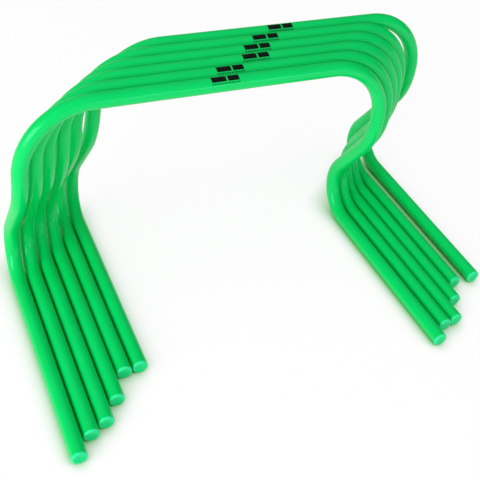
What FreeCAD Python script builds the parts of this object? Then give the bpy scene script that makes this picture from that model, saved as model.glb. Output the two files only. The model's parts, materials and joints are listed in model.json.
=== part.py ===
import FreeCAD, Part
import math
import os

# A nest of bent-tube training hurdles. Each hurdle is one plastic tube, closed by a plug at either foot.
# Sizes are in millimetres and turns in degrees. The floor is z = 0 and +Z is up. The feet point to -Y,
# and each hurdle of the nest stands behind (+Y) and to the right (+X) of the one in front of it.
# The origin is the middle of the nest's footprint, on the floor.

# Tube
TUBE_DIAMETER = 20.0
TUBE_WALL = 2.0

# Bends of one hurdle, on the tube's axis, from a foot's end to the crossbar
LEG_SPACING = 502.5
SPLAY_ANGLE = 1.5
HAIRPIN_RADIUS = 49.0
HAIRPIN_ANGLE = 122.0
SLOPE_LENGTH = 70.0
S_BEND_RADIUS = 96.0
S_BEND_ANGLE = 36.0
UPRIGHT_LENGTH = 3.0
CORNER_RADIUS = 90.0

# End plug: a flange over the tube's end and a ribbed spigot in its bore
FLANGE_THICKNESS = 3.0
FLANGE_ROUND = 2.0
DISH_DIAMETER = 11.0
DISH_DEPTH = 0.6
SPIGOT_WALL = 1.8
SPIGOT_LEAD = 2.0
SPIGOT_CLEARANCE = 0.5
RIB_CLEARANCE = 0.1
RIB_WIDTH = 1.2
RIB_PITCH = 4.0
RIB_COUNT = 3

# Nest: gaps between neighbouring crossbars and between neighbouring left feet
BAR_GAP = 0.5
FOOT_GAP = 2.1

# What the bending left uneven, from the front hurdle to the rear one: how long either foot came out, how far the
# hairpins have opened, how far the left leg tilts inwards, and how much wider than LEG_SPACING the feet stand
LEFT_FOOT_LENGTH = (277.0, 264.5, 276.0, 265.5, 261.5, 278.0)
RIGHT_FOOT_LENGTH = (259.0, 250.0, 269.0, 253.0, 255.0, 272.0)
OPENING_ANGLE = (0.0, 2.0, 1.5, 2.5, -0.5, 0.0)
LEFT_TILT_ANGLE = (0.0, 0.0, 0.0, 0.4, 1.2, 3.7)
EXTRA_SPACING = (0.0, 0.5, -0.5, -2.0, -2.5, 10.5)

LEFT = -1
RIGHT = 1
TUBE_RADIUS = TUBE_DIAMETER / 2
BORE_RADIUS = TUBE_RADIUS - TUBE_WALL
SPIGOT_LENGTH = RIB_COUNT * RIB_PITCH + SPIGOT_LEAD
RIGHT_ANGLE = 90.0

Vector = FreeCAD.Vector


def direction(degrees):
    """Unit vector in the XY plane, turned from +X towards +Y."""
    angle = math.radians(degrees)
    return Vector(math.cos(angle), math.sin(angle), 0)


def bend(start, heading, radius, turn):
    """Middle and end of an arc that leaves start along heading, and the heading at its end."""
    side = math.copysign(1, turn)
    centre = start + direction(heading + side * RIGHT_ANGLE) * radius

    def along(part):
        return centre - direction(heading + part * turn + side * RIGHT_ANGLE) * radius

    return along(0.5), along(1.0), heading + turn


def rounded(before, corner, after, radius):
    """Start, middle and end of the arc of this radius that rounds a corner between two straight runs."""
    back = (before - corner).normalize()
    ahead = (after - corner).normalize()
    half_angle = back.getAngle(ahead) / 2
    to_centre = (back + ahead).normalize()
    reach = radius / math.tan(half_angle)
    middle = corner + to_centre * (radius / math.sin(half_angle) - radius)
    return corner + back * reach, middle, corner + ahead * reach


class Leg:
    """One leg's points on the tube's axis. It lies in a plane through the foot, tilted inwards by tilt."""

    def __init__(self, side, half_spacing, foot_length, opening, tilt):
        splay = math.radians(SPLAY_ANGLE)
        lean = math.radians(tilt)
        self.backwards = Vector(-side * math.sin(splay), math.cos(splay), 0)
        inwards = Vector(-side * math.cos(splay), -math.sin(splay), 0)
        self.upwards = inwards * math.sin(lean) + Vector(0, 0, math.cos(lean))
        self.heel = Vector(side * half_spacing, 0, TUBE_RADIUS)

        self.toe = self.place(Vector(-foot_length, 0, 0))
        middle, end, heading = bend(Vector(), 0, HAIRPIN_RADIUS, HAIRPIN_ANGLE - opening)
        self.hairpin = self.place(middle), self.place(end)
        end = end + direction(heading) * SLOPE_LENGTH
        self.slope_end = self.place(end)
        middle, end, heading = bend(end, heading, S_BEND_RADIUS, -S_BEND_ANGLE)
        self.s_bend = self.place(middle), self.place(end)
        self.shoulder = self.place(end + direction(heading) * (UPRIGHT_LENGTH + CORNER_RADIUS))

    def place(self, point):
        """The point of the leg's own plane, given as back from the heel and up from the foot's axis."""
        return self.heel + self.backwards * point.x + self.upwards * point.y

    def edges(self, corner_start):
        """The leg's edges from its toe up to where the rounded shoulder starts."""
        return [
            Part.LineSegment(self.toe, self.heel).toShape(),
            Part.Arc(self.heel, *self.hairpin).toShape(),
            Part.LineSegment(self.hairpin[-1], self.slope_end).toShape(),
            Part.Arc(self.slope_end, *self.s_bend).toShape(),
            Part.LineSegment(self.s_bend[-1], corner_start).toShape(),
        ]


class Hurdle:
    """One hurdle of the nest, standing by itself: its legs, its axis and its crossbar's place."""

    def __init__(self, number):
        self.half_spacing = (LEG_SPACING + EXTRA_SPACING[number]) / 2
        opening = OPENING_ANGLE[number]
        self.left = Leg(LEFT, self.half_spacing, LEFT_FOOT_LENGTH[number], opening, LEFT_TILT_ANGLE[number])
        self.right = Leg(RIGHT, self.half_spacing, RIGHT_FOOT_LENGTH[number], opening, 0)
        self.bar_back = (self.left.shoulder.y + self.right.shoulder.y) / 2

    def axis(self):
        """The tube's axis from the left toe to the right toe."""
        left, right = self.left, self.right
        left_corner = rounded(left.s_bend[-1], left.shoulder, right.shoulder, CORNER_RADIUS)
        right_corner = rounded(right.s_bend[-1], right.shoulder, left.shoulder, CORNER_RADIUS)
        run = left.edges(left_corner[0])
        run.append(Part.Arc(*left_corner).toShape())
        run.append(Part.LineSegment(left_corner[-1], right_corner[-1]).toShape())
        run.append(Part.Arc(*reversed(right_corner)).toShape())
        return Part.Wire(Part.__sortEdges__(run + right.edges(right_corner[0])))


def tube(hurdle):
    """The bent tube, open at both ends, swept along the hurdle's axis."""
    path = hurdle.axis()
    start, along = hurdle.left.toe, hurdle.left.backwards
    rings = [Part.Wire(Part.makeCircle(radius, start, along)) for radius in (TUBE_RADIUS, BORE_RADIUS)]
    outside, bore = [Part.makeSolid(path.makePipe(Part.Face(ring))) for ring in rings]
    return outside.cut(bore), path.Length


def plug():
    """An end plug on the Z axis: the flange's seat on the tube's end is z = 0 and the spigot points down."""
    core = BORE_RADIUS - SPIGOT_CLEARANCE
    rib = BORE_RADIUS - RIB_CLEARANCE
    hollow = core - SPIGOT_WALL
    rim = FLANGE_THICKNESS - FLANGE_ROUND
    dish = DISH_DIAMETER / 2
    dish_radius = (dish ** 2 + DISH_DEPTH ** 2) / (2 * DISH_DEPTH)

    flange = Part.makeCylinder(TUBE_RADIUS, FLANGE_THICKNESS)
    flange = flange.makeFillet(FLANGE_ROUND, [e for e in flange.Edges if e.BoundBox.ZMin > rim])
    scoop = Part.makeSphere(dish_radius, Vector(0, 0, FLANGE_THICKNESS - DISH_DEPTH + dish_radius))
    spigot = Part.makeCylinder(core, SPIGOT_LENGTH, Vector(0, 0, -SPIGOT_LENGTH))
    for number in range(RIB_COUNT):
        level = Vector(0, 0, -(number + 1) * RIB_PITCH)
        spigot = spigot.fuse(Part.makeCylinder(rib, RIB_WIDTH, level))
    spigot = spigot.cut(Part.makeCylinder(hollow, SPIGOT_LENGTH, Vector(0, 0, -SPIGOT_LENGTH)))
    return flange.cut(scoop).fuse(spigot).removeSplitter()


def seated(shape, leg):
    """A copy of the plug in this leg's toe."""
    turn = FreeCAD.Rotation(Vector(0, 0, 1), leg.backwards * -1)
    placed = shape.copy()
    placed.Placement = FreeCAD.Placement(leg.toe, turn)
    return placed


def nest():
    """Every piece of the nest by its node's name, in the front hurdle's own frame."""
    one_plug = plug()
    front = Hurdle(0)
    pieces = {}
    for number in range(len(OPENING_ANGLE)):
        hurdle = Hurdle(number)
        to_right = hurdle.half_spacing - front.half_spacing + number * (TUBE_DIAMETER + FOOT_GAP)
        to_back = front.bar_back - hurdle.bar_back + number * (TUBE_DIAMETER + BAR_GAP)
        bent, length = tube(hurdle)
        name = f"hurdle_{number + 1}"
        own = {
            f"{name}_tube": bent,
            f"{name}_left_plug": seated(one_plug, hurdle.left),
            f"{name}_right_plug": seated(one_plug, hurdle.right),
        }
        for node, shape in own.items():
            pieces[node] = shape.translated(Vector(to_right, to_back, 0))
        section = math.pi * (TUBE_RADIUS ** 2 - BORE_RADIUS ** 2)
        print(f"{name}: moved {to_right:.2f} right and {to_back:.2f} back, tube {length:.1f} long,",
              f"volume over section times length {bent.Volume / (section * length):.6f}, valid {bent.isValid()}")
    return pieces


def main():
    pieces = nest()
    box = Part.Compound(list(pieces.values())).optimalBoundingBox(False, False)
    to_origin = Vector(-box.Center.x, -box.Center.y, 0)
    print(f"nest {box.XLength:.2f} wide, {box.YLength:.2f} deep, {box.ZLength:.2f} high,",
          f"front hurdle's heels at x {to_origin.x:.3f}, y {to_origin.y:.3f}")
    os.makedirs("parts", exist_ok=True)
    for node, shape in pieces.items():
        shape.translated(to_origin).exportStep(f"parts/{node}.step")


main()
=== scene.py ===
import json
import math

import bpy
from bpy.props import (
    FloatProperty,
    FloatVectorProperty,
    IntProperty,
    PointerProperty,
    StringProperty,
)
from mathutils import Matrix, Vector

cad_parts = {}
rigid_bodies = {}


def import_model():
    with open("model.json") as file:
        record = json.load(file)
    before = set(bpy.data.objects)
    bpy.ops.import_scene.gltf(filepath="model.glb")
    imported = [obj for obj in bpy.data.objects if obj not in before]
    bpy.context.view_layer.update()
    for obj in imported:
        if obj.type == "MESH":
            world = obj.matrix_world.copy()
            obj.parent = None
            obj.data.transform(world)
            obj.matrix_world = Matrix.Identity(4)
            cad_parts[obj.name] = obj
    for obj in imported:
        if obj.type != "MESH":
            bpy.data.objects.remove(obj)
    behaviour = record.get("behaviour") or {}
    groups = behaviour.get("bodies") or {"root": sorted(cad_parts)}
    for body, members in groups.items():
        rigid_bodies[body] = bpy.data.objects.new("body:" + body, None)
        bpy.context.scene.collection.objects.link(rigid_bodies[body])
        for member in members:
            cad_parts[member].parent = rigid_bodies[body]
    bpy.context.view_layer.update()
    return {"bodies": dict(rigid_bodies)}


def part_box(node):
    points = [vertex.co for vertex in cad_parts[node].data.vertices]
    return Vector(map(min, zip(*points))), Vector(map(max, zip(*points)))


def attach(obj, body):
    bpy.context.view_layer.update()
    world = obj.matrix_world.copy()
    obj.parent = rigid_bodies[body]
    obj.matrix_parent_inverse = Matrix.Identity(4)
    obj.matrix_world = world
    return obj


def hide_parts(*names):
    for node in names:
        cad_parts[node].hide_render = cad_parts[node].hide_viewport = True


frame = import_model()

bl_info = {
    "name": "Nested Speed Hurdles",
    "version": (1, 0, 0),
    "blender": (4, 5, 0),
    "location": "3D View > Sidebar > Hurdles",
    "description": "Dresses a nest of bent-tube training hurdles and sets up its studio",
    "category": "Object",
}

HURDLES = sorted(frame["bodies"])
SIDES = {"left": -1, "right": 1}

# Edges that are sharper than this stay crisp.
CREASE = math.radians(30.0)

# A mix node's two colour inputs and its colour output.
FIRST, SECOND, MIXED = 6, 7, 2


# Settings

class BendSettings(bpy.types.PropertyGroup):
    """The bends of one hurdle, on the tube's axis, from a foot's end to the crossbar."""

    leg_spacing: FloatProperty(
        name="Leg spacing", description="From the left heel to the right one",
        default=0.5025, min=0.1, unit="LENGTH")
    splay: FloatProperty(
        name="Splay", description="How far each foot points outwards",
        default=math.radians(1.5), subtype="ANGLE")
    hairpin_radius: FloatProperty(
        name="Hairpin radius", description="Bend from the heel up and forwards",
        default=0.049, min=0.02, unit="LENGTH")
    hairpin_angle: FloatProperty(
        name="Hairpin angle", description="How far the hairpin turns",
        default=math.radians(122.0), subtype="ANGLE")
    slope_length: FloatProperty(
        name="Slope length", description="Straight run between the hairpin and the S bend",
        default=0.07, min=0.0, unit="LENGTH")
    s_bend_radius: FloatProperty(
        name="S bend radius", description="Bend back from the slope to the upright",
        default=0.096, min=0.02, unit="LENGTH")
    s_bend_angle: FloatProperty(
        name="S bend angle", description="How far the S bend turns back",
        default=math.radians(36.0), subtype="ANGLE")
    upright_length: FloatProperty(
        name="Upright length", description="Straight run between the S bend and the corner",
        default=0.003, min=0.0, unit="LENGTH")
    corner_radius: FloatProperty(
        name="Corner radius", description="Bend from the upright into the crossbar",
        default=0.09, min=0.02, unit="LENGTH")
    bend_step: FloatProperty(
        name="Bend step", description="Turn between two rings of the tube's skin",
        default=math.radians(3.0), min=math.radians(0.5), subtype="ANGLE")
    left_foot: FloatVectorProperty(
        name="Left feet", description="Straight run from the tube's left end to the heel, front to rear",
        size=6, default=(0.277, 0.2645, 0.276, 0.2655, 0.2615, 0.278), unit="LENGTH")
    right_foot: FloatVectorProperty(
        name="Right feet", description="Straight run from the tube's right end to the heel, front to rear",
        size=6, default=(0.259, 0.25, 0.269, 0.253, 0.255, 0.272), unit="LENGTH")
    opening: FloatVectorProperty(
        name="Hairpin opening", description="How far each hurdle's hairpins have opened, front to rear",
        size=6, default=[math.radians(turn) for turn in (0.0, 2.0, 1.5, 2.5, -0.5, 0.0)], unit="ROTATION")
    left_tilt: FloatVectorProperty(
        name="Left tilt", description="How far each hurdle's left leg tilts inwards, front to rear",
        size=6, default=[math.radians(turn) for turn in (0.0, 0.0, 0.0, 0.4, 1.2, 3.7)], unit="ROTATION")
    extra_spacing: FloatVectorProperty(
        name="Extra spacing", description="How much wider each hurdle's feet stand, front to rear",
        size=6, default=(0.0, 0.0005, -0.0005, -0.002, -0.0025, 0.0105), unit="LENGTH")


class TubeSettings(bpy.types.PropertyGroup):
    """The tube itself."""

    diameter: FloatProperty(
        name="Diameter", description="Outside diameter of the tube",
        default=0.02, min=0.004, unit="LENGTH")
    wall: FloatProperty(
        name="Wall", description="Thickness of the tube's wall",
        default=0.002, min=0.0005, unit="LENGTH")
    chamfer: FloatProperty(
        name="End chamfer", description="Width of the broken edge at a cut end",
        default=0.0004, min=0.0, unit="LENGTH")
    bore_depth: FloatProperty(
        name="Bore depth", description="How far the bore is modelled from either end",
        default=0.02, min=0.0, unit="LENGTH")
    sides: IntProperty(
        name="Sides", description="Faces around the tube", default=48, min=12)
    colour: StringProperty(
        name="Colour", description="Green of the tube, as an sRGB hex value", default="#00CE63")
    deep_colour: StringProperty(
        name="Deep colour", description="Green where the dye is denser, as an sRGB hex value",
        default="#00C65B")


class PlugSettings(bpy.types.PropertyGroup):
    """The plug that closes either end of a tube: a flange and a ribbed spigot."""

    flange_thickness: FloatProperty(
        name="Flange thickness", description="From the tube's end to the plug's face",
        default=0.003, min=0.001, unit="LENGTH")
    flange_round: FloatProperty(
        name="Flange round", description="Radius of the flange's outer edge",
        default=0.002, min=0.0002, unit="LENGTH")
    seat_chamfer: FloatProperty(
        name="Seat chamfer", description="Width of the broken edge where the flange meets the tube",
        default=0.0003, min=0.0, unit="LENGTH")
    dish_diameter: FloatProperty(
        name="Dish diameter", description="Shallow hollow in the plug's face",
        default=0.011, min=0.001, unit="LENGTH")
    dish_depth: FloatProperty(
        name="Dish depth", description="Depth of the hollow in the plug's face",
        default=0.0006, min=0.0, unit="LENGTH")
    gate_diameter: FloatProperty(
        name="Gate diameter", description="Small pit where the plastic flowed into the mould",
        default=0.0022, min=0.0002, unit="LENGTH")
    gate_depth: FloatProperty(
        name="Gate depth", description="Depth of that pit",
        default=0.0005, min=0.0, unit="LENGTH")
    spigot_wall: FloatProperty(
        name="Spigot wall", description="Wall of the hollow spigot",
        default=0.0018, min=0.0005, unit="LENGTH")
    spigot_lead: FloatProperty(
        name="Spigot lead", description="Plain end of the spigot past its last rib",
        default=0.002, min=0.0, unit="LENGTH")
    spigot_clearance: FloatProperty(
        name="Spigot clearance", description="Gap between the spigot and the bore",
        default=0.0005, min=0.0, unit="LENGTH")
    rib_clearance: FloatProperty(
        name="Rib clearance", description="Gap between a rib and the bore",
        default=0.0001, min=0.0, unit="LENGTH")
    rib_width: FloatProperty(
        name="Rib width", description="Width of a rib along the spigot",
        default=0.0012, min=0.0002, unit="LENGTH")
    rib_pitch: FloatProperty(
        name="Rib pitch", description="From one rib to the next",
        default=0.004, min=0.0004, unit="LENGTH")
    rib_count: IntProperty(
        name="Ribs", description="Ribs on a spigot", default=3, min=0)
    sides: IntProperty(
        name="Sides", description="Faces around a plug", default=64, min=12)
    colour: StringProperty(
        name="Colour", description="Green of the plugs, as an sRGB hex value", default="#00CE78")
    # Painted highlight: the paler green of a plug's rim stands for light caught by the rounded flange edge.
    pale_colour: StringProperty(
        name="Pale colour", description="Green of a plug's thin rim, as an sRGB hex value",
        default="#30E49A")


class MarkSettings(bpy.types.PropertyGroup):
    """The plain printed mark on each crossbar: two blocks with a row of dashes under them."""

    length: FloatProperty(
        name="Length", description="Length of the mark along the crossbar",
        default=0.037, min=0.002, unit="LENGTH")
    block_height: FloatProperty(
        name="Block height", description="Height of the blocks, around the tube",
        default=0.0085, min=0.001, unit="LENGTH")
    block_share: FloatProperty(
        name="Block share", description="Share of the length that the left block takes",
        default=0.56, min=0.1, max=0.9, subtype="FACTOR")
    block_gap: FloatProperty(
        name="Block gap", description="Bare gap between the two blocks",
        default=0.0022, min=0.0001, unit="LENGTH")
    dashes: IntProperty(
        name="Dashes", description="Number of dashes in the row under the blocks", default=12, min=1)
    dash_height: FloatProperty(
        name="Dash height", description="Height of the dashes, around the tube",
        default=0.0018, min=0.0003, unit="LENGTH")
    dash_gap: FloatProperty(
        name="Dash gap", description="Bare gap between the blocks and the dashes",
        default=0.0013, min=0.0001, unit="LENGTH")
    top: FloatProperty(
        name="Top edge", description="How far past level, from the front upwards, the blocks' top edge lies",
        default=math.radians(100.0), subtype="ANGLE")
    thickness: FloatProperty(
        name="Ink thickness", description="How far the ink stands proud of the tube",
        default=0.00006, min=0.00001, unit="LENGTH")
    places: FloatVectorProperty(
        name="Places", description="How far right of a crossbar's middle each mark is, front to rear",
        size=6, default=(0.0034, -0.0031, 0.0208, 0.0106, 0.0093, 0.0092), unit="LENGTH")
    colour: StringProperty(
        name="Colour", description="Ink, as an sRGB hex value", default="#0B120D")
    starved_colour: StringProperty(
        name="Starved colour", description="Thin ink with the tube showing through, as an sRGB hex value",
        default="#0F4A26")


class StageSettings(bpy.types.PropertyGroup):
    """The floor, the light and the camera."""

    floor_reach: FloatProperty(
        name="Floor reach", description="From the nest's middle to the floor's edge",
        default=12.0, min=1.0, unit="LENGTH")
    floor_colour: StringProperty(
        name="Floor colour", description="Floor, as an sRGB hex value", default="#FBFBFA")
    pale_colour: StringProperty(
        name="Pale colour", description="Paler clouds in the floor, as an sRGB hex value", default="#FDFDFC")
    # Painted shade: the dark green of the floor in the narrow gaps between the feet stands for their shadow
    # and the tubes' green bounce light.
    painted_gap_shade_colour: StringProperty(
        name="Gap colour", description="Floor in the gaps between the feet, as an sRGB hex value",
        default="#06B822")
    floor_glow: FloatProperty(
        name="Floor glow", description="Share of the floor's brightness that needs no light",
        default=0.85, min=0.0, max=1.0, subtype="FACTOR")
    shadow_reach: FloatProperty(
        name="Shadow reach", description="How far from the feet the floor is darkened",
        default=0.05, min=0.0, unit="LENGTH")
    sky_top: FloatProperty(
        name="Sky overhead", description="Brightness of the sky straight above", default=0.92, min=0.0)
    sky_left: FloatProperty(
        name="Sky on the left", description="Brightness of the sky at the left horizon",
        default=0.5, min=0.0)
    sky_right: FloatProperty(
        name="Sky on the right", description="Brightness of the sky at the right horizon",
        default=0.1, min=0.0)
    sky_front: FloatProperty(
        name="Sky in front", description="Brightness of the sky at the horizon behind the camera",
        default=1.2, min=0.0)
    sky_back: FloatProperty(
        name="Sky behind", description="Brightness of the sky at the horizon behind the nest",
        default=0.8, min=0.0)
    sky_gloss: FloatProperty(
        name="Sky in the gloss", description="Share of the sky's brightness that shows in reflections",
        default=0.2, min=0.0, max=1.0, subtype="FACTOR")
    side_power: FloatProperty(
        name="Side power", description="Wide soft light low on the left",
        default=36.0, min=0.0, unit="POWER")
    side_size: FloatVectorProperty(
        name="Side size", description="Width and height of the side light",
        size=2, default=(1.9, 0.9), unit="LENGTH")
    side_place: FloatVectorProperty(
        name="Side place", description="Where the side light hangs",
        size=3, default=(-2.2, -0.8, 0.95), subtype="XYZ", unit="LENGTH")
    right_power: FloatProperty(
        name="Right power", description="Strip lamp in front on the right",
        default=6.0, min=0.0, unit="POWER")
    right_size: FloatVectorProperty(
        name="Right size", description="Width and height of the strip lamp",
        size=2, default=(1.2, 0.16), unit="LENGTH")
    right_place: FloatVectorProperty(
        name="Right place", description="Where the strip lamp hangs",
        size=3, default=(1.1, -2.47, 0.77), subtype="XYZ", unit="LENGTH")
    aim: FloatVectorProperty(
        name="Aim", description="Point that the lamps face",
        size=3, default=(0.0, 0.0, 0.1), subtype="XYZ", unit="LENGTH")
    camera_place: FloatVectorProperty(
        name="Camera place", description="Where the camera stands",
        size=3, default=(-0.5124, -0.7701, 0.89356), subtype="XYZ", unit="LENGTH")
    camera_heading: FloatProperty(
        name="Camera heading", description="Turn of the view to the right of straight ahead",
        default=math.radians(32.317), subtype="ANGLE")
    camera_drop: FloatProperty(
        name="Camera drop", description="How far the view tips down",
        default=math.radians(41.965), subtype="ANGLE")
    camera_roll: FloatProperty(
        name="Camera roll", description="Turn of the camera about its own view",
        default=math.radians(11.0), subtype="ANGLE")
    lens: FloatProperty(
        name="Lens", description="Focal length, in millimetres", default=67.275, min=10.0)
    sensor: FloatProperty(
        name="Sensor", description="Width of the sensor, in millimetres", default=36.0, min=4.0)


class HurdleSettings(bpy.types.PropertyGroup):
    """All the settings of the nest."""

    bends: PointerProperty(type=BendSettings)
    tube: PointerProperty(type=TubeSettings)
    plug: PointerProperty(type=PlugSettings)
    mark: PointerProperty(type=MarkSettings)
    stage: PointerProperty(type=StageSettings)


# Nodes and colours

def add(tree, kind, links=None, **settings):
    """A new node with these settings; links fills its inputs, each from a socket or with a value."""
    node = tree.nodes.new(kind)
    for name, value in settings.items():
        setattr(node, name, value)
    for socket, value in (links or {}).items():
        if isinstance(value, bpy.types.NodeSocket):
            tree.links.new(value, node.inputs[socket])
        else:
            node.inputs[socket].default_value = value
    return node


def linear(colour):
    """The linear red, green, blue and alpha of an sRGB hex value."""
    levels = [int(colour[start:start + 2], 16) / 255 for start in (1, 3, 5)]
    return [
        *(level / 12.92 if level <= 0.04045 else ((level + 0.055) / 1.055) ** 2.4 for level in levels),
        1.0,
    ]


def emptied_tree(owner):
    """The node tree of a material or a world, with nothing in it."""
    owner.use_nodes = True
    owner.node_tree.nodes.clear()
    return owner.node_tree


def geometry_tree(name, inputs):
    """A new geometry node tree with these named inputs, and its input sockets."""
    tree = bpy.data.node_groups.new(name, "GeometryNodeTree")
    tree.interface.new_socket("Geometry", in_out="INPUT", socket_type="NodeSocketGeometry")
    tree.interface.new_socket("Geometry", in_out="OUTPUT", socket_type="NodeSocketGeometry")
    for label, kind in inputs.items():
        tree.interface.new_socket(label, in_out="INPUT", socket_type=kind)
    return tree, add(tree, "NodeGroupInput").outputs


def dress(tree, geometry, material):
    """Ends a geometry node tree: real geometry in this material."""
    real = add(tree, "GeometryNodeRealizeInstances", {"Geometry": geometry})
    dressed = add(tree, "GeometryNodeSetMaterial", {"Geometry": real.outputs[0], "Material": material})
    add(tree, "NodeGroupOutput", {0: dressed.outputs[0]})


def plain_object(name, mesh):
    """A new object for the mesh, at the origin."""
    mesh.name = name
    piece = bpy.data.objects.new(name, mesh)
    bpy.context.scene.collection.objects.link(piece)
    return piece


def grown(name, base, tree, values):
    """A plain mesh object: what the tree makes of the base mesh with these values in its named inputs."""
    source = plain_object(name + "_source", base)
    modifier = source.modifiers.new("Nodes", "NODES")
    modifier.node_group = tree
    for item in tree.interface.items_tree:
        if item.in_out == "INPUT" and item.name in values:
            modifier[item.identifier] = values[item.name]
    view = bpy.context.evaluated_depsgraph_get()
    result = source.evaluated_get(view)
    mesh = bpy.data.meshes.new_from_object(result, preserve_all_data_layers=True, depsgraph=view)
    bpy.data.objects.remove(source)
    bpy.data.meshes.remove(base)
    if not mesh.polygons:
        raise RuntimeError(f"{name} came out empty")
    return plain_object(name, mesh)


# Materials

# Tint of the mirror on both green plastics.
GLOSS_TINT = "#98FFE4"


def extruded_pvc(tube):
    """Extruded PVC, dyed through: an even saturated green with a clear gloss, faint lines that the die drew
    along the tube, and a slightly duller skin where hands and floors have rubbed it."""
    material = bpy.data.materials.new("Extruded PVC, green")
    tree = emptied_tree(material)
    along = add(tree, "ShaderNodeAttribute", attribute_name="along").outputs["Fac"]
    section = add(tree, "ShaderNodeAttribute", attribute_name="section").outputs["Vector"]

    # The die's lines are a few tenths of a millimetre apart; they are drawn at 1.5 mm so that they show.
    die_line, die_length = 0.0015, 0.12
    drawn = add(tree, "ShaderNodeMath", {0: along, 1: die_line / die_length}, operation="MULTIPLY")
    drawn = add(tree, "ShaderNodeCombineXYZ", {"Z": drawn.outputs[0]})
    drawn = add(tree, "ShaderNodeVectorMath", {0: section, 1: drawn.outputs[0]}, operation="ADD")
    lines = add(tree, "ShaderNodeTexNoise", {
        "Vector": drawn.outputs[0], "Scale": 1 / die_line, "Detail": 2.0}).outputs["Fac"]

    # Cloudy dye, about 70 mm across, and rubbed patches of about 9 mm.
    dye_cloud, rubbed_patch = 0.07, 0.009
    skin = add(tree, "ShaderNodeCombineXYZ", {"Z": along})
    skin = add(tree, "ShaderNodeVectorMath", {0: section, 1: skin.outputs[0]}, operation="ADD")
    cloud = add(tree, "ShaderNodeTexNoise", {
        "Vector": skin.outputs[0], "Scale": 1 / dye_cloud, "Detail": 1.0}).outputs["Fac"]
    rub = add(tree, "ShaderNodeTexNoise", {
        "Vector": skin.outputs[0], "Scale": 1 / rubbed_patch, "Detail": 5.0, "Roughness": 0.6}).outputs["Fac"]

    # How much the die's lines add to the shade and to the relief.
    line_shade, line_relief = 0.35, 0.6
    shade = add(tree, "ShaderNodeMath", {0: lines, 1: line_shade, 2: cloud}, operation="MULTIPLY_ADD")
    shade = add(tree, "ShaderNodeMapRange", {"Value": shade.outputs[0], "From Min": 0.4, "From Max": 1.0})
    colour = add(tree, "ShaderNodeMix", {
        "Factor": shade.outputs[0], FIRST: linear(tube.colour), SECOND: linear(tube.deep_colour)},
        data_type="RGBA")
    gloss = add(tree, "ShaderNodeMapRange", {
        "Value": rub, "From Min": 0.35, "From Max": 0.75, "To Min": 0.2, "To Max": 0.28})
    relief = add(tree, "ShaderNodeMath", {0: lines, 1: line_relief, 2: rub}, operation="MULTIPLY_ADD")
    bump = add(tree, "ShaderNodeBump", {"Height": relief.outputs[0], "Strength": 0.15, "Distance": 0.00001})
    # Fine scuffs take the mirror out of the skin where it is seen edge on.
    edge = add(tree, "ShaderNodeLayerWeight", {"Blend": 0.5})
    mirror = add(tree, "ShaderNodeMapRange", {
        "Value": edge.outputs["Facing"], "From Min": 0.25, "From Max": 0.8, "To Min": 0.46, "To Max": 0.04})

    shader = add(tree, "ShaderNodeBsdfPrincipled", {
        "Base Color": colour.outputs[MIXED], "Roughness": gloss.outputs[0], "Normal": bump.outputs[0],
        "IOR": 1.53, "Specular IOR Level": mirror.outputs[0], "Specular Tint": linear(GLOSS_TINT)})
    add(tree, "ShaderNodeOutputMaterial", {"Surface": shader.outputs["BSDF"]})
    return material


def moulded_polyethylene(plug):
    """Moulded low-density polyethylene: softer and milkier than the tube, with a satin skin from the mould;
    its rim is painted a paler green, a highlight where the rounded flange catches the light."""
    material = bpy.data.materials.new("Moulded polyethylene, green")
    tree = emptied_tree(material)
    place = add(tree, "ShaderNodeTexCoord").outputs["Object"]
    rim = add(tree, "ShaderNodeAttribute", attribute_name="rim").outputs["Fac"]

    # Flow clouds of about 4 mm, and the mould's 0.1 mm grain, drawn at 0.5 mm so that it shows.
    flow_cloud, skin_grain = 0.004, 0.0005
    flow = add(tree, "ShaderNodeTexNoise", {
        "Vector": place, "Scale": 1 / flow_cloud, "Detail": 2.0}).outputs["Fac"]
    grain = add(tree, "ShaderNodeTexNoise", {
        "Vector": place, "Scale": 1 / skin_grain, "Detail": 1.0}).outputs["Fac"]

    # How much the flow clouds add to the rim's painted highlight, a paler green towards the flange's edge.
    flow_shade = 0.4
    painted_rim_highlight = add(tree, "ShaderNodeMath", {0: flow, 1: flow_shade, 2: rim}, operation="MULTIPLY_ADD")
    painted_rim_highlight = add(tree, "ShaderNodeMapRange", {"Value": painted_rim_highlight.outputs[0], "From Min": 0.85, "From Max": 1.2})
    colour = add(tree, "ShaderNodeMix", {
        "Factor": painted_rim_highlight.outputs[0], FIRST: linear(plug.colour), SECOND: linear(plug.pale_colour)},
        data_type="RGBA")
    gloss = add(tree, "ShaderNodeMapRange", {
        "Value": flow, "From Min": 0.3, "From Max": 0.7, "To Min": 0.36, "To Max": 0.46})
    bump = add(tree, "ShaderNodeBump", {"Height": grain, "Strength": 0.1, "Distance": 0.00001})

    shader = add(tree, "ShaderNodeBsdfPrincipled", {
        "Base Color": colour.outputs[MIXED], "Roughness": gloss.outputs[0], "Normal": bump.outputs[0],
        "IOR": 1.51, "Specular IOR Level": 0.3, "Specular Tint": linear(GLOSS_TINT)})
    add(tree, "ShaderNodeOutputMaterial", {"Surface": shader.outputs["BSDF"]})
    return material


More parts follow.
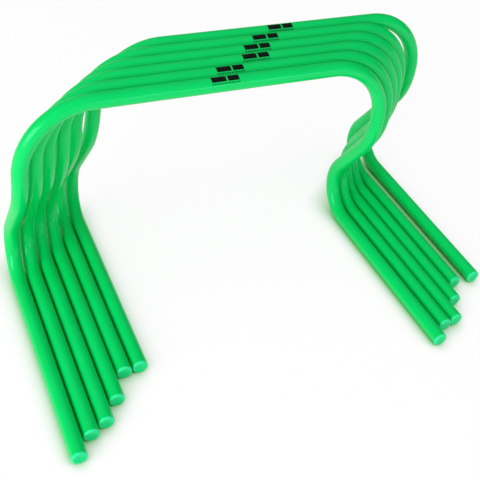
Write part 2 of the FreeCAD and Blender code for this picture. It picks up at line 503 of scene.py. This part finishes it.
def printed_ink(mark):
    """Pad-printed ink: a thin dull black film, a little starved and speckled where the pad was light."""
    material = bpy.data.materials.new("Pad-printed ink, black")
    tree = emptied_tree(material)
    place = add(tree, "ShaderNodeTexCoord").outputs["Object"]

    # Pinholes of about 0.4 mm in the film, one to each 0.8 mm.
    speck_spacing = 0.0008
    specks = add(tree, "ShaderNodeTexNoise", {
        "Vector": place, "Scale": 1 / speck_spacing, "Detail": 3.0}).outputs["Fac"]
    starved = add(tree, "ShaderNodeMapRange", {"Value": specks, "From Min": 0.6, "From Max": 0.72})
    colour = add(tree, "ShaderNodeMix", {
        "Factor": starved.outputs[0], FIRST: linear(mark.colour), SECOND: linear(mark.starved_colour)},
        data_type="RGBA")
    gloss = add(tree, "ShaderNodeMapRange", {"Value": specks, "To Min": 0.4, "To Max": 0.6})
    bump = add(tree, "ShaderNodeBump", {"Height": specks, "Strength": 0.2, "Distance": 0.00001})

    shader = add(tree, "ShaderNodeBsdfPrincipled", {
        "Base Color": colour.outputs[MIXED], "Roughness": gloss.outputs[0], "Normal": bump.outputs[0],
        "Specular IOR Level": 0.2})
    add(tree, "ShaderNodeOutputMaterial", {"Surface": shader.outputs["BSDF"]})
    return material


def studio_paper(stage):
    """Seamless studio paper: matt, almost white, with a faint cloudiness."""
    material = bpy.data.materials.new("Studio paper")
    tree = emptied_tree(material)
    place = add(tree, "ShaderNodeTexCoord").outputs["Object"]
    cloud_size = 0.3
    cloud = add(tree, "ShaderNodeTexNoise", {"Vector": place, "Scale": 1 / cloud_size, "Detail": 2.0})
    paper = add(tree, "ShaderNodeMix", {
        "Factor": cloud.outputs["Fac"], FIRST: linear(stage.floor_colour), SECOND: linear(stage.pale_colour)},
        data_type="RGBA")

    # In the gaps between the feet only light that came off the tubes gets to the paper: this shade and green
    # are painted in, as ambient occlusion mixes the paper's colour towards the gap green.
    near = add(tree, "ShaderNodeAmbientOcclusion", {"Distance": stage.shadow_reach}, samples=32).outputs["AO"]
    lit = add(tree, "ShaderNodeMapRange", {"Value": near, "From Min": 0.08, "From Max": 0.9})
    gap = linear(stage.painted_gap_shade_colour)
    colour = add(tree, "ShaderNodeMix", {
        "Factor": lit.outputs[0], FIRST: gap, SECOND: paper.outputs[MIXED]}, data_type="RGBA")
    matt = add(tree, "ShaderNodeBsdfPrincipled", {
        "Base Color": colour.outputs[MIXED], "Roughness": 0.9, "Specular IOR Level": 0.1})

    # Where it is looked at, the paper is lit from within, less so close to the feet, whose shadows stay.
    ray = add(tree, "ShaderNodeLightPath").outputs
    seen = add(tree, "ShaderNodeMath", {
        0: ray["Is Camera Ray"], 1: ray["Is Glossy Ray"]}, operation="MAXIMUM")
    seen = add(tree, "ShaderNodeMath", {
        0: seen.outputs[0], 1: ray["Is Transmission Ray"]}, operation="MAXIMUM")
    open_floor = add(tree, "ShaderNodeMapRange", {
        "Value": near, "From Max": 0.95, "To Max": stage.floor_glow})
    share = add(tree, "ShaderNodeMath", {0: seen.outputs[0], 1: open_floor.outputs[0]}, operation="MULTIPLY")
    # Near the feet the glow takes on the same painted green shade.
    tint = add(tree, "ShaderNodeMix", {
        "Factor": lit.outputs[0], FIRST: gap, SECOND: linear("#FFFFFF")}, data_type="RGBA")
    glow = add(tree, "ShaderNodeEmission", {"Color": tint.outputs[MIXED], "Strength": 1.0})
    mixed = add(tree, "ShaderNodeMixShader", {
        0: share.outputs[0], 1: matt.outputs["BSDF"], 2: glow.outputs[0]})
    add(tree, "ShaderNodeOutputMaterial", {"Surface": mixed.outputs[0]})
    return material


# The tube's axis

def bent(start, heading, radius, turn, step):
    """Points of an arc in a leg's own plane that leaves start along heading, and the heading at its end."""
    side = math.copysign(math.pi / 2, turn)
    centre = start + Vector((math.cos(heading + side), math.sin(heading + side))) * radius
    count = math.ceil(abs(turn) / step)
    ends = [heading + turn * number / count - side for number in range(1, count + 1)]
    return [centre + Vector((math.cos(end), math.sin(end))) * radius for end in ends], heading + turn


def rounded(before, corner, after, radius, step):
    """Points of the arc of this radius that rounds a corner between two straight runs."""
    back = (before - corner).normalized()
    ahead = (after - corner).normalized()
    half = back.angle(ahead) / 2
    centre = corner + (back + ahead).normalized() * (radius / math.sin(half))
    reach = radius / math.tan(half)
    first = corner + back * reach - centre
    last = corner + ahead * reach - centre
    count = math.ceil((math.pi - 2 * half) / step)
    return [centre + first.slerp(last, number / count).normalized() * radius for number in range(count + 1)]


class Leg:
    """One leg's points, from its toe to where its corner would be if it weren't rounded."""

    def __init__(self, bends, side, heel, foot_length, opening, tilt):
        splay, step = bends.splay, bends.bend_step
        backwards = Vector((-side * math.sin(splay), math.cos(splay), 0))
        inwards = Vector((-side * math.cos(splay), -math.sin(splay), 0))
        upwards = inwards * math.sin(tilt) + Vector((0, 0, math.cos(tilt)))
        hairpin, heading = bent(Vector((0, 0)), 0, bends.hairpin_radius, bends.hairpin_angle - opening, step)
        slope_end = hairpin[-1] + Vector((math.cos(heading), math.sin(heading))) * bends.slope_length
        s_bend, heading = bent(slope_end, heading, bends.s_bend_radius, -bends.s_bend_angle, step)
        rise = bends.upright_length + bends.corner_radius
        shoulder = s_bend[-1] + Vector((math.cos(heading), math.sin(heading))) * rise
        flat = [Vector((-foot_length, 0)), Vector((0, 0)), *hairpin, slope_end, *s_bend, shoulder]
        *self.points, self.shoulder = [heel + backwards * point.x + upwards * point.y for point in flat]
        self.toe = self.points[0]
        self.outwards = -backwards


class Hurdle:
    """One hurdle's legs and axis, set where the CAD tube of this body stands."""

    def __init__(self, settings, body):
        bends = settings.bends
        number = HURDLES.index(body)
        feet = {"left": bends.left_foot[number], "right": bends.right_foot[number]}
        tilts = {"left": bends.left_tilt[number], "right": 0.0}
        low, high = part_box(f"{body}_tube")
        radius = settings.tube.diameter / 2
        ahead, aside = math.cos(bends.splay), math.sin(bends.splay)
        # The longer foot reaches further out, so the box's middle lies a little to that side.
        uneven = (feet["right"] - feet["left"]) * aside / 2
        middle = Vector((
            (low.x + high.x) / 2 - uneven, low.y + max(feet.values()) * ahead + radius * aside, radius))
        half_spacing = (bends.leg_spacing + bends.extra_spacing[number]) / 2
        self.legs = {}
        for name, side in SIDES.items():
            heel = middle + Vector((side * half_spacing, 0, 0))
            self.legs[name] = Leg(bends, side, heel, feet[name], bends.opening[number], tilts[name])
        left, right = self.legs["left"], self.legs["right"]
        corner, step = bends.corner_radius, bends.bend_step
        left_corner = rounded(left.points[-1], left.shoulder, right.shoulder, corner, step)
        right_corner = rounded(right.points[-1], right.shoulder, left.shoulder, corner, step)
        self.bar = left_corner[-1], right_corner[-1]
        self.axis = [*left.points, *left_corner, *reversed(right_corner), *reversed(right.points)]


# Pieces

def tube_tree():
    """Sweeps a ring along the tube's axis, breaks the edges of its cut ends and sinks the bore in them."""
    number, whole = "NodeSocketFloat", "NodeSocketInt"
    tree, size = geometry_tree("Bent tube", {
        "Radius": number, "Chamfer": number, "Bore radius": number, "Bore depth": number, "Sides": whole,
        "Material": "NodeSocketMaterial"})
    axis = add(tree, "GeometryNodeMeshToCurve", {"Mesh": size["Geometry"]})
    run = add(tree, "GeometryNodeSplineParameter")
    axis = add(tree, "GeometryNodeStoreNamedAttribute", {
        "Geometry": axis.outputs[0], "Name": "along", "Value": run.outputs["Length"]}, data_type="FLOAT")
    ring = add(tree, "GeometryNodeCurvePrimitiveCircle", {
        "Resolution": size["Sides"], "Radius": size["Radius"]})
    place = add(tree, "GeometryNodeInputPosition")
    ring = add(tree, "GeometryNodeStoreNamedAttribute", {
        "Geometry": ring.outputs[0], "Name": "section", "Value": place.outputs[0]}, data_type="FLOAT_VECTOR")
    swept = add(tree, "GeometryNodeCurveToMesh", {
        "Curve": axis.outputs[0], "Profile Curve": ring.outputs[0], "Fill Caps": True})

    # The two caps are the only faces with more than four corners.
    corners = add(tree, "GeometryNodeInputMeshFaceNeighbors")
    ends = add(tree, "FunctionNodeCompare", {
        2: corners.outputs["Vertex Count"], 3: 4}, data_type="INT", operation="GREATER_THAN")
    narrow = add(tree, "ShaderNodeMath", {0: size["Radius"], 1: size["Chamfer"]}, operation="SUBTRACT")
    chamfer_share = add(tree, "ShaderNodeMath", {
        0: narrow.outputs[0], 1: size["Radius"]}, operation="DIVIDE")
    bore_share = add(tree, "ShaderNodeMath", {
        0: size["Bore radius"], 1: narrow.outputs[0]}, operation="DIVIDE")
    inwards = add(tree, "ShaderNodeMath", {0: size["Bore depth"], 1: -1.0}, operation="MULTIPLY")
    edge = add(tree, "GeometryNodeExtrudeMesh", {
        "Mesh": swept.outputs[0], "Selection": ends.outputs[0], "Offset Scale": size["Chamfer"]})
    broken = add(tree, "GeometryNodeScaleElements", {
        "Geometry": edge.outputs["Mesh"], "Selection": edge.outputs["Top"],
        "Scale": chamfer_share.outputs[0]})
    land = add(tree, "GeometryNodeExtrudeMesh", {
        "Mesh": broken.outputs[0], "Selection": edge.outputs["Top"], "Offset Scale": 0.0})
    wall = add(tree, "GeometryNodeScaleElements", {
        "Geometry": land.outputs["Mesh"], "Selection": land.outputs["Top"], "Scale": bore_share.outputs[0]})
    bore = add(tree, "GeometryNodeExtrudeMesh", {
        "Mesh": wall.outputs[0], "Selection": land.outputs["Top"], "Offset Scale": inwards.outputs[0]})

    smooth = add(tree, "GeometryNodeSetShadeSmooth", {"Geometry": bore.outputs["Mesh"], "Shade Smooth": True})
    angle = add(tree, "GeometryNodeInputMeshEdgeAngle")
    sharp = add(tree, "FunctionNodeCompare", {
        0: angle.outputs["Unsigned Angle"], 1: CREASE}, operation="GREATER_THAN")
    crisp = add(tree, "GeometryNodeSetShadeSmooth", {
        "Geometry": smooth.outputs[0], "Selection": sharp.outputs[0], "Shade Smooth": False}, domain="EDGE")
    dress(tree, crisp.outputs[0], size["Material"])
    return tree


class HURDLE_OT_tubes(bpy.types.Operator):
    """Sweep the six bent tubes"""

    bl_idname = "hurdle.tubes"
    bl_label = "Bent tubes"

    def execute(self, context):
        settings = context.scene.hurdles
        tube = settings.tube
        tree = tube_tree()
        radius = tube.diameter / 2
        values = {
            "Radius": radius, "Chamfer": tube.chamfer, "Bore radius": radius - tube.wall,
            "Bore depth": tube.bore_depth, "Sides": tube.sides, "Material": extruded_pvc(tube)}
        for body in HURDLES:
            hurdle = Hurdle(settings, body)
            # The sweep stops short of each toe by the broken edge, which the tree then adds.
            ends = {name: leg.toe - leg.outwards * tube.chamfer for name, leg in hurdle.legs.items()}
            points = [ends["left"], *hurdle.axis[1:-1], ends["right"]]
            path = bpy.data.meshes.new(body)
            path.from_pydata(points, [(at, at + 1) for at in range(len(points) - 1)], [])
            piece = grown(f"{body}_bent_tube", path, tree, values)
            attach(piece, body)
            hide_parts(f"{body}_tube")
        return {"FINISHED"}


def plug_profile(plug, tube):
    """Half section of a plug as radius and height, from the pit in its face to its hollow spigot's floor."""
    radius = tube.diameter / 2
    bore = radius - tube.wall
    core = bore - plug.spigot_clearance
    rib = bore - plug.rib_clearance
    hollow = core - plug.spigot_wall
    face = plug.flange_thickness
    dish, gate = plug.dish_diameter / 2, plug.gate_diameter / 2
    end = -(plug.rib_count * plug.rib_pitch + plug.spigot_lead)
    steps = 8

    def dish_height(out):
        return face - plug.dish_depth * (1 - (out / dish) ** 2)

    # The pit has a flat floor and a wall that leans out, as shares of its radius and depth.
    floor_share, wall_share, wall_rise = 0.55, 0.9, 0.7
    pit = dish_height(gate) - plug.gate_depth
    section = [
        (0.0, pit), (gate * floor_share, pit), (gate * wall_share, pit + plug.gate_depth * wall_rise)]
    for part in range(steps):
        out = gate + (dish - gate) * part / steps
        section.append((out, dish_height(out)))
    section += [(dish, face), (radius - plug.flange_round, face)]
    for part in range(1, steps + 1):
        turn = math.radians(90.0) * part / steps
        out = radius - plug.flange_round * (1 - math.sin(turn))
        section.append((out, face - plug.flange_round * (1 - math.cos(turn))))
    section += [(radius, plug.seat_chamfer), (radius - plug.seat_chamfer, 0.0), (core, 0.0)]
    for number in range(plug.rib_count):
        low = -(number + 1) * plug.rib_pitch
        high = low + plug.rib_width
        section += [(core, high), (rib, high), (rib, low), (core, low)]
    return section + [(core, end), (hollow, end), (hollow, 0.0), (0.0, 0.0)]


def turned(name, section, sides, place):
    """A closed mesh turned from a half section on the Z axis and then placed, with each point's share of the
    largest radius kept as its rim attribute."""
    widest = max(out for out, _ in section)
    points, rims, rings = [], [], []
    for out, height in section:
        count = sides if out else 1
        rings.append(range(len(points), len(points) + count))
        for number in range(count):
            turn = 2 * math.pi * number / count
            points.append(place @ Vector((out * math.cos(turn), out * math.sin(turn), height)))
            rims.append(out / widest)
    faces = []
    for upper, lower in zip(rings, rings[1:]):
        for number in range(sides):
            around = (upper, number), (lower, number), (lower, number + 1), (upper, number + 1)
            corners = [ring[at % len(ring)] for ring, at in around]
            faces.append(list(dict.fromkeys(corners)))
    mesh = bpy.data.meshes.new(name)
    mesh.from_pydata(points, [], faces)
    mesh.attributes.new("rim", "FLOAT", "POINT").data.foreach_set("value", rims)
    mesh.shade_smooth()
    mesh.set_sharp_from_angle(angle=CREASE)
    return mesh


class HURDLE_OT_plugs(bpy.types.Operator):
    """Turn the twelve end plugs and press them into the tubes"""

    bl_idname = "hurdle.plugs"
    bl_label = "End plugs"

    def execute(self, context):
        settings = context.scene.hurdles
        plug = settings.plug
        section = plug_profile(plug, settings.tube)
        material = moulded_polyethylene(plug)
        for body in HURDLES:
            for name, leg in Hurdle(settings, body).legs.items():
                turn = leg.outwards.to_track_quat("Z", "Y").to_matrix().to_4x4()
                place = Matrix.Translation(leg.toe) @ turn
                piece = plain_object(f"{body}_{name}_end_plug", turned("plug", section, plug.sides, place))
                piece.data.materials.append(material)
                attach(piece, body)
                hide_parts(f"{body}_{name}_plug")
        return {"FINISHED"}


def mark_tree():
    """Wraps each flat face of the mark round the crossbar and gives the ink its thickness."""
    number = "NodeSocketFloat"
    tree, size = geometry_tree("Printed mark", {
        "Radius": number, "Top": number, "Thickness": number, "Middle": "NodeSocketVector",
        "Material": "NodeSocketMaterial"})
    place = add(tree, "GeometryNodeInputPosition")
    flat = add(tree, "ShaderNodeSeparateXYZ", {0: place.outputs[0]})
    around = add(tree, "ShaderNodeMath", {0: flat.outputs["Y"], 1: size["Radius"]}, operation="DIVIDE")
    around = add(tree, "ShaderNodeMath", {0: size["Top"], 1: around.outputs[0]}, operation="ADD")
    level = add(tree, "ShaderNodeMath", {0: around.outputs[0]}, operation="SINE")
    level = add(tree, "ShaderNodeMath", {0: level.outputs[0], 1: size["Radius"]}, operation="MULTIPLY")
    front = add(tree, "ShaderNodeMath", {0: around.outputs[0]}, operation="COSINE")
    front = add(tree, "ShaderNodeMath", {0: front.outputs[0], 1: size["Radius"]}, operation="MULTIPLY")
    front = add(tree, "ShaderNodeMath", {0: front.outputs[0], 1: -1.0}, operation="MULTIPLY")
    wrapped = add(tree, "ShaderNodeCombineXYZ", {
        "X": flat.outputs["X"], "Y": front.outputs[0], "Z": level.outputs[0]})
    wrapped = add(tree, "ShaderNodeVectorMath", {0: wrapped.outputs[0], 1: size["Middle"]}, operation="ADD")
    laid = add(tree, "GeometryNodeSetPosition", {
        "Geometry": size["Geometry"], "Position": wrapped.outputs[0]})
    film = add(tree, "GeometryNodeExtrudeMesh", {
        "Mesh": laid.outputs[0], "Offset Scale": size["Thickness"], "Individual": False})
    under = add(tree, "GeometryNodeFlipFaces", {"Mesh": laid.outputs[0]})
    both = add(tree, "GeometryNodeJoinGeometry", {"Geometry": film.outputs["Mesh"]})
    tree.links.new(under.outputs[0], both.inputs[0])
    closed = add(tree, "GeometryNodeMergeByDistance", {"Geometry": both.outputs[0], "Distance": 1e-6})
    dress(tree, closed.outputs[0], size["Material"])
    return tree


def flat_mark(mark):
    """The mark as it lies on the printing plate: two blocks and a row of dashes, cut into narrow strips."""
    strips = 10
    start, end = -mark.length / 2, mark.length / 2
    split = start + mark.length * mark.block_share
    areas = [
        (start, split - mark.block_gap / 2, 0.0, mark.block_height),
        (split + mark.block_gap / 2, end, 0.0, mark.block_height)]
    # The bare gaps between the dashes are as long as the dashes.
    dash = mark.length / (2 * mark.dashes - 1)
    for number in range(mark.dashes):
        left = start + 2 * number * dash
        areas.append((left, left + dash, -mark.block_height - mark.dash_gap, mark.dash_height))
    points, faces = [], []
    for left, right, top, height in areas:
        first = len(points)
        for number in range(strips + 1):
            level = top - height * number / strips
            points += [(left, level, 0.0), (right, level, 0.0)]
        for number in range(strips):
            at = first + 2 * number
            faces.append((at + 2, at + 3, at + 1, at))
    mesh = bpy.data.meshes.new("mark")
    mesh.from_pydata(points, [], faces)
    return mesh


class HURDLE_OT_marks(bpy.types.Operator):
    """Print the plain mark on each crossbar"""

    bl_idname = "hurdle.marks"
    bl_label = "Printed marks"

    def execute(self, context):
        settings = context.scene.hurdles
        mark = settings.mark
        tree = mark_tree()
        values = {
            "Radius": settings.tube.diameter / 2, "Top": mark.top, "Thickness": mark.thickness,
            "Material": printed_ink(mark)}
        for number, body in enumerate(HURDLES):
            start, end = Hurdle(settings, body).bar
            values["Middle"] = (start + end) / 2 + (end - start).normalized() * mark.places[number]
            piece = grown(f"{body}_printed_mark", flat_mark(mark), tree, values)
            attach(piece, body)
        return {"FINISHED"}


# Studio

def paper_sheet(stage):
    """The mesh of a wide sheet of paper under the nest."""
    reach = stage.floor_reach
    floor = bpy.data.meshes.new("floor")
    corners = [(-reach, -reach, 0), (reach, -reach, 0), (reach, reach, 0), (-reach, reach, 0)]
    floor.from_pydata(corners, [], [(0, 1, 2, 3)])
    floor.materials.append(studio_paper(stage))
    return floor


def studio_sky(stage):
    """A white sky with its own brightness on each side and none from below."""
    world = bpy.data.worlds.new("Studio")
    tree = emptied_tree(world)
    way = add(tree, "ShaderNodeTexCoord")
    part = add(tree, "ShaderNodeSeparateXYZ", {0: way.outputs["Generated"]})
    sides = {
        "X": (stage.sky_left, stage.sky_right),
        "Y": (stage.sky_front, stage.sky_back),
        "Z": (0.0, stage.sky_top),
    }
    # A side's share is the square of how far a direction points that way, so the shares add up to one.
    level = 0.0
    for axis, (low, high) in sides.items():
        share = add(tree, "ShaderNodeMath", {0: part.outputs[axis], 1: 2.0}, operation="POWER")
        side = add(tree, "ShaderNodeMath", {0: part.outputs[axis], 1: 0.0}, operation="GREATER_THAN")
        bright = add(tree, "ShaderNodeMapRange", {"Value": side.outputs[0], "To Min": low, "To Max": high})
        level = add(tree, "ShaderNodeMath", {
            0: share.outputs[0], 1: bright.outputs[0], 2: level}, operation="MULTIPLY_ADD").outputs[0]
    # The sky mostly lights the nest: reflections show it dimmed, so that the lamps stand out in the gloss.
    ray = add(tree, "ShaderNodeLightPath")
    dimmed = add(tree, "ShaderNodeMapRange", {
        "Value": ray.outputs["Is Glossy Ray"], "To Min": 1.0, "To Max": stage.sky_gloss})
    level = add(tree, "ShaderNodeMath", {0: level, 1: dimmed.outputs[0]}, operation="MULTIPLY").outputs[0]
    # Looked at directly, the sky is as white as the floor.
    seen = add(tree, "ShaderNodeMath", {
        0: ray.outputs["Is Camera Ray"], 1: ray.outputs["Is Transmission Ray"]}, operation="MAXIMUM")
    level = add(tree, "ShaderNodeMapRange", {
        "Value": seen.outputs[0], "To Min": level, "To Max": 1.0}).outputs[0]
    sky = add(tree, "ShaderNodeBackground", {"Color": linear("#FFFFFF"), "Strength": level})
    add(tree, "ShaderNodeOutputWorld", {"Surface": sky.outputs[0]})
    return world


def studio_lamp(name, size, power, place, aim):
    """A rectangular lamp of this width and height that hangs at its place and faces the aim."""
    light = bpy.data.lights.new(name, "AREA")
    light.shape = "RECTANGLE"
    light.size, light.size_y = size
    light.energy = power
    lamp = bpy.data.objects.new(name, light)
    lamp.location = place
    lamp.rotation_euler = (Vector(aim) - lamp.location).to_track_quat("-Z", "Y").to_euler()
    return lamp


def studio_camera(stage):
    """The camera, turned to its heading, tipped down and rolled."""
    camera = bpy.data.objects.new("camera", bpy.data.cameras.new("camera"))
    camera.data.lens = stage.lens
    camera.data.sensor_width = stage.sensor
    turn = (
        Matrix.Rotation(-stage.camera_heading, 4, "Z")
        @ Matrix.Rotation(math.radians(90.0) - stage.camera_drop, 4, "X")
        @ Matrix.Rotation(stage.camera_roll, 4, "Z"))
    camera.matrix_world = Matrix.Translation(stage.camera_place) @ turn
    return camera


class HURDLE_OT_stage(bpy.types.Operator):
    """Set up the floor, the light and the camera"""

    bl_idname = "hurdle.stage"
    bl_label = "Studio"

    def execute(self, context):
        scene = context.scene
        stage = scene.hurdles.stage
        floor = paper_sheet(stage)
        plain_object("studio_floor", floor)
        scene.world = studio_sky(stage)
        lamps = (
            studio_lamp("side_light", stage.side_size, stage.side_power, stage.side_place, stage.aim),
            studio_lamp("right_lamp", stage.right_size, stage.right_power, stage.right_place, stage.aim))
        camera = studio_camera(stage)
        for thing in (*lamps, camera):
            scene.collection.objects.link(thing)
        scene.camera = camera
        scene.view_settings.view_transform = "Standard"
        return {"FINISHED"}


class HURDLE_PT_panel(bpy.types.Panel):
    """Lists the nest's settings and pieces"""

    bl_label = "Hurdles"
    bl_idname = "HURDLE_PT_panel"
    bl_space_type = "VIEW_3D"
    bl_region_type = "UI"
    bl_category = "Hurdles"

    def draw(self, context):
        settings = context.scene.hurdles
        groups = {
            "hurdle.tubes": (settings.bends, settings.tube), "hurdle.plugs": (settings.plug,),
            "hurdle.marks": (settings.mark,), "hurdle.stage": (settings.stage,)}
        for operator, sizes in groups.items():
            box = self.layout.box()
            for group in sizes:
                for name in group.__annotations__:
                    box.prop(group, name)
            box.operator(operator)


CLASSES = (
    BendSettings, TubeSettings, PlugSettings, MarkSettings, StageSettings, HurdleSettings,
    HURDLE_OT_tubes, HURDLE_OT_plugs, HURDLE_OT_marks, HURDLE_OT_stage, HURDLE_PT_panel)


def register():
    for kind in CLASSES:
        bpy.utils.register_class(kind)
    bpy.types.Scene.hurdles = PointerProperty(type=HurdleSettings)


def unregister():
    del bpy.types.Scene.hurdles
    for kind in reversed(CLASSES):
        bpy.utils.unregister_class(kind)


def main():
    register()
    bpy.ops.hurdle.tubes()
    bpy.ops.hurdle.plugs()
    bpy.ops.hurdle.marks()
    bpy.ops.hurdle.stage()


if __name__ == "__main__":
    main()
